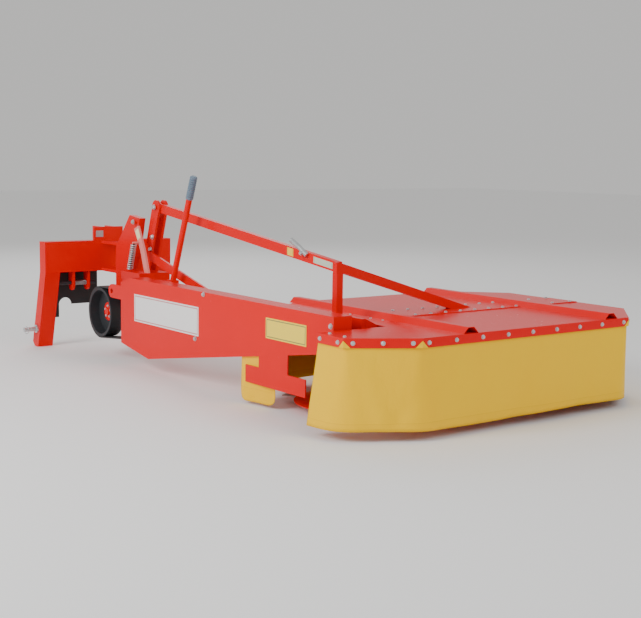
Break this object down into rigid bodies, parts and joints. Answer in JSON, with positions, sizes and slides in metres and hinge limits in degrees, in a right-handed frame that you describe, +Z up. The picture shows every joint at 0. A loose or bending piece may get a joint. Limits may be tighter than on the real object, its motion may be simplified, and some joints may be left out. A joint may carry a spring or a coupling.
{
  "type": "drum mower",
  "caption": "Rear-mounted rotary drum mower with octagonal sheet cover, yellow safety curtain, belt drive in a long side guard, folding brace and three-point hitch frame.",
  "frame": {"origin": "middle of the whole machine at floor level, under its skids and hitch feet", "axes": "+Y forward to the tractor, +X to the machine's right where the drums are, +Z up"},
  "size_m": [1.8996, 3.154, 1.0372],
  "materials": {
    "red_paint": "gloss",
    "yellow_fabric": "satin",
    "zinc": "satin",
    "bare_steel": "satin",
    "dark_steel": "satin",
    "grey_iron": "matte",
    "black_plastic": "matte",
    "black_rubber": "matte",
    "grip_plastic": "matte"
  },
  "bodies": {
    "hitch": {"hitch_beam": "red_paint", "hitch_legs": "red_paint", "lower_link_pins": "zinc", "top_link_bracket": "red_paint", "kingpin_lugs": "red_paint", "kingpin": "zinc", "latch_lugs": "red_paint", "latch_bolt": "dark_steel", "input_shield": "black_plastic"},
    "swing_head": {"head_sleeve": "red_paint", "head_column": "red_paint", "head_mast": "red_paint", "front_gearbox": "red_paint", "input_bell": "black_plastic"},
    "input": {"input_shaft": "bare_steel"},
    "drive_pulley": {"drive_pulley": "grey_iron"},
    "arm": {"arm_beam": "red_paint", "arm_front_plate": "red_paint", "arm_rear_plate": "red_paint", "belt_guard": "red_paint", "guard_back": "red_paint", "guard_ear": "red_paint", "drive_belts": "black_rubber", "side_bar": "red_paint", "tower_base": "red_paint", "tower_plates": "red_paint", "diagonal_brace": "red_paint", "lift_strap": "red_paint", "balance_spring": "zinc", "hand_lever": "red_paint", "lever_grip": "grip_plastic", "gear_beam": "red_paint", "beam_strips": "red_paint", "cover_rear": "red_paint", "cover_front": "red_paint", "cover_ribs": "red_paint", "curtain_main": "yellow_fabric", "curtain_inner": "yellow_fabric", "curtain_flap": "yellow_fabric", "skids": "bare_steel", "input_cover": "red_paint", "brace_post": "red_paint", "brace_rear_bar": "red_paint", "brace_front_bar": "red_paint", "brace_latch": "zinc"},
    "driven_pulley": {"driven_pulley": "grey_iron"},
    "drum_left": {"drum_left": "red_paint", "knives_left": "bare_steel"},
    "drum_right": {"drum_right": "red_paint", "knives_right": "bare_steel"}
  },
  "joints": [
    {"name": "arm_swing", "type": "hinge", "parent": "hitch", "child": "swing_head", "pos_m": [-0.45525, 1.175, 0.54], "axis": [0, 0, 1], "range_deg": [-30, 0]},
    {"name": "arm_float", "type": "hinge", "parent": "swing_head", "child": "arm", "pos_m": [-0.59425, 0.973, 0.258], "axis": [1, 0, 0], "range_deg": [0, 6]},
    {"name": "input_spin", "type": "hinge", "parent": "swing_head", "child": "input", "pos_m": [-0.45525, 1.113, 0.258], "axis": [0, 1, 0], "continuous": true},
    {"name": "drive_pulley_spin", "type": "hinge", "parent": "swing_head", "child": "drive_pulley", "pos_m": [-0.68525, 0.973, 0.258], "axis": [1, 0, 0], "continuous": true},
    {"name": "driven_pulley_spin", "type": "hinge", "parent": "arm", "child": "driven_pulley", "pos_m": [-0.68525, -0.947, 0.366], "axis": [1, 0, 0], "continuous": true},
    {"name": "drum_left_spin", "type": "hinge", "parent": "arm", "child": "drum_left", "pos_m": [-0.35525, -0.947, 0.2], "axis": [0, 0, 1], "continuous": true},
    {"name": "drum_right_spin", "type": "hinge", "parent": "arm", "child": "drum_right", "pos_m": [0.46475, -0.947, 0.2], "axis": [0, 0, 1], "continuous": true}
  ],
  "couplings": [
    {"joint": "drum_right_spin", "follows": "drum_left_spin", "ratio": -1},
    {"joint": "driven_pulley_spin", "follows": "drum_left_spin", "ratio": 1},
    {"joint": "drive_pulley_spin", "follows": "drum_left_spin", "ratio": 0.44927},
    {"joint": "input_spin", "follows": "drum_left_spin", "ratio": 0.44927}
  ]
}
